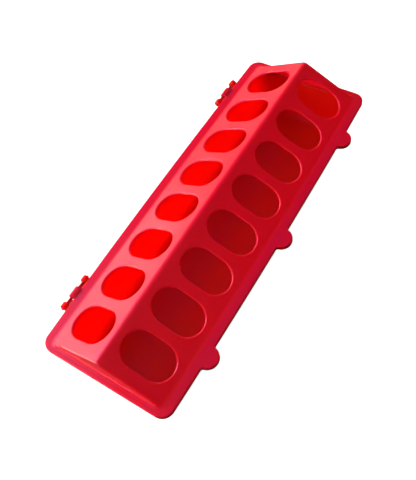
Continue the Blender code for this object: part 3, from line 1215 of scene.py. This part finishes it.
@dataclass
class Studio:
    """A pale floor, soft light and the camera of the photograph.

    The photo's feeder shows no light from the floor under it, so the floor lights no piece.
    """

    lights: list[SoftBox]
    floor_size: float = 6.0
    floor_colour: str = "#f4f4f4"
    floor_glow: float = 0.85
    floor_roughness: float = 0.9
    lens: float = 43.447
    sensor_width: float = 36.0
    sight: Point = (0.01, 50.0)
    camera_place: Triple = (-0.190457, -0.15668, 0.404311)
    camera_right: Triple = (0.515405, -0.849054, -0.11605)
    camera_back: Triple = (-0.384531, -0.350166, 0.854119)

    def add_floor(self) -> None:
        """A plain pale floor under the feeder."""
        shape = bmesh.new()
        bmesh.ops.create_grid(shape, x_segments=1, y_segments=1, size=self.floor_size / 2)
        floor = piece_of(mesh_of(shape, "studio_floor"), "studio_floor")
        made = bpy.data.materials.new("pale_paper_sweep")
        made.use_nodes = True
        settings = {
            "Base Color": srgb(self.floor_colour),
            "Roughness": self.floor_roughness,
            "Specular IOR Level": 0.0,
            "Emission Color": (1.0, 1.0, 1.0, 1.0),
            "Emission Strength": self.floor_glow,
        }
        for socket, value in settings.items():
            made.node_tree.nodes["Principled BSDF"].inputs[socket].default_value = value
        floor.data.materials.append(made)
        floor.visible_diffuse = floor.visible_glossy = floor.visible_transmission = False
        floor.visible_shadow = False

    def add_camera(self) -> None:
        """The camera, placed by fitting the lid's edges and holes to the photograph."""
        data = bpy.data.cameras.new("camera")
        data.lens = self.lens
        data.sensor_width = self.sensor_width
        data.clip_start, data.clip_end = self.sight
        camera = bpy.data.objects.new("camera", data)
        right = Vector(self.camera_right)
        back = Vector(self.camera_back).normalized()
        above = back.cross(right).normalized()
        right = above.cross(back)
        turn = Matrix((right, above, back)).transposed()
        camera.matrix_world = Matrix.Translation(self.camera_place) @ turn.to_4x4()
        bpy.context.scene.collection.objects.link(camera)
        bpy.context.scene.camera = camera

    def add_world(self) -> None:
        """A pale backdrop beyond the floor, which lights no piece."""
        world = bpy.data.worlds.new("pale_backdrop")
        bpy.context.scene.world = world
        world.use_nodes = True
        backdrop = world.node_tree.nodes["Background"]
        backdrop.inputs["Color"].default_value = srgb(self.floor_colour)
        backdrop.inputs["Strength"].default_value = 1.0
        rays = world.cycles_visibility
        rays.diffuse = rays.glossy = rays.transmission = rays.scatter = False

    def build(self) -> None:
        """Set up the studio."""
        self.add_floor()
        self.add_camera()
        self.add_world()
        for light in self.lights:
            light.add()
        bpy.context.scene.view_settings.view_transform = "Standard"


def main() -> None:
    """Build the feeder and its studio."""
    logging.basicConfig(level=logging.INFO, format="%(name)s: %(message)s")
    lights = [
        SoftBox("window_left", 125, 14, (1.0, 1.0), 14.2, Shows.BODY),
        SoftBox("window_low", 95, 8, (1.6, 0.3), 17.5, Shows.BODY, distance=1.0),
        SoftBox("window_right", 50, 14, (1.0, 1.0), 1.6, Shows.BODY),
        SoftBox("high_back", 100, 40, (1.0, 1.0), 1.0, Shows.BODY),
        SoftBox("far_end", 0, 25, (1.0, 1.0), 4.3, Shows.BODY),
        SoftBox("near_end", 190, 12, (1.0, 0.6), 2.2, Shows.BODY),
        SoftBox("front", 270, 76, (1.0, 1.0), 5.9, Shows.BODY),
        SoftBox("verge_sheen", 130, 9, (1.0, 0.3), 1.5, Shows.GLOSS),
        SoftBox("gable_sheen", 150, 2, (0.8, 0.5), 5.5, Shows.GLOSS),
        SoftBox("gable_bounce", 135, -18, (1.0, 0.6), 11.5, Shows.GLOSS),
        SoftBox("slope_sheen", 89, 9, (1.0, 0.3), 5.4, Shows.GLOSS),
        SoftBox("slope_sheen_far", 42, 9, (1.0, 0.3), 1.8, Shows.GLOSS),
        SoftBox("sky_left", 107, 38, (0.8, 0.8), 18.0, Shows.GLOSS, colour="#bcbcff"),
        SoftBox("sky_near", 150, 40, (0.9, 0.9), 1.5, Shows.GLOSS, colour="#0000ff"),
        SoftBox("sky_high", 45, 60, (0.9, 0.9), 2.0, Shows.GLOSS, colour="#0000ff"),
    ]
    Studio(lights).build()
    plan = Plan()
    lid_red = MouldedPolypropylene("moulded_polypropylene_lid", "#ef0924", "#e90821", "#f0223a")
    tray_red = MouldedPolypropylene(
        "moulded_polypropylene_tray",
        "#f81d10",
        "#f31b0e",
        "#f43424",
        subsurface=1.0,
        free_path=(0.010, 0.0006, 0.0003),
        specular=0.12,
    )
    # The pins get a darker red than the lid and the tray.
    pin_red = MouldedPolypropylene(
        "moulded_polypropylene_pin", "#b01020", "#a80e1c", "#c02030", subsurface=0.3
    )
    hinges = Hinges(plan, pin_red)
    for part in (Tray(plan, tray_red, hinges), Lid(plan, lid_red, hinges), hinges):
        part.build()
        for piece in part.pieces:
            LOG.info("%s: %d faces", piece.name, len(piece.data.polygons))


if __name__ == "__main__":
    main()
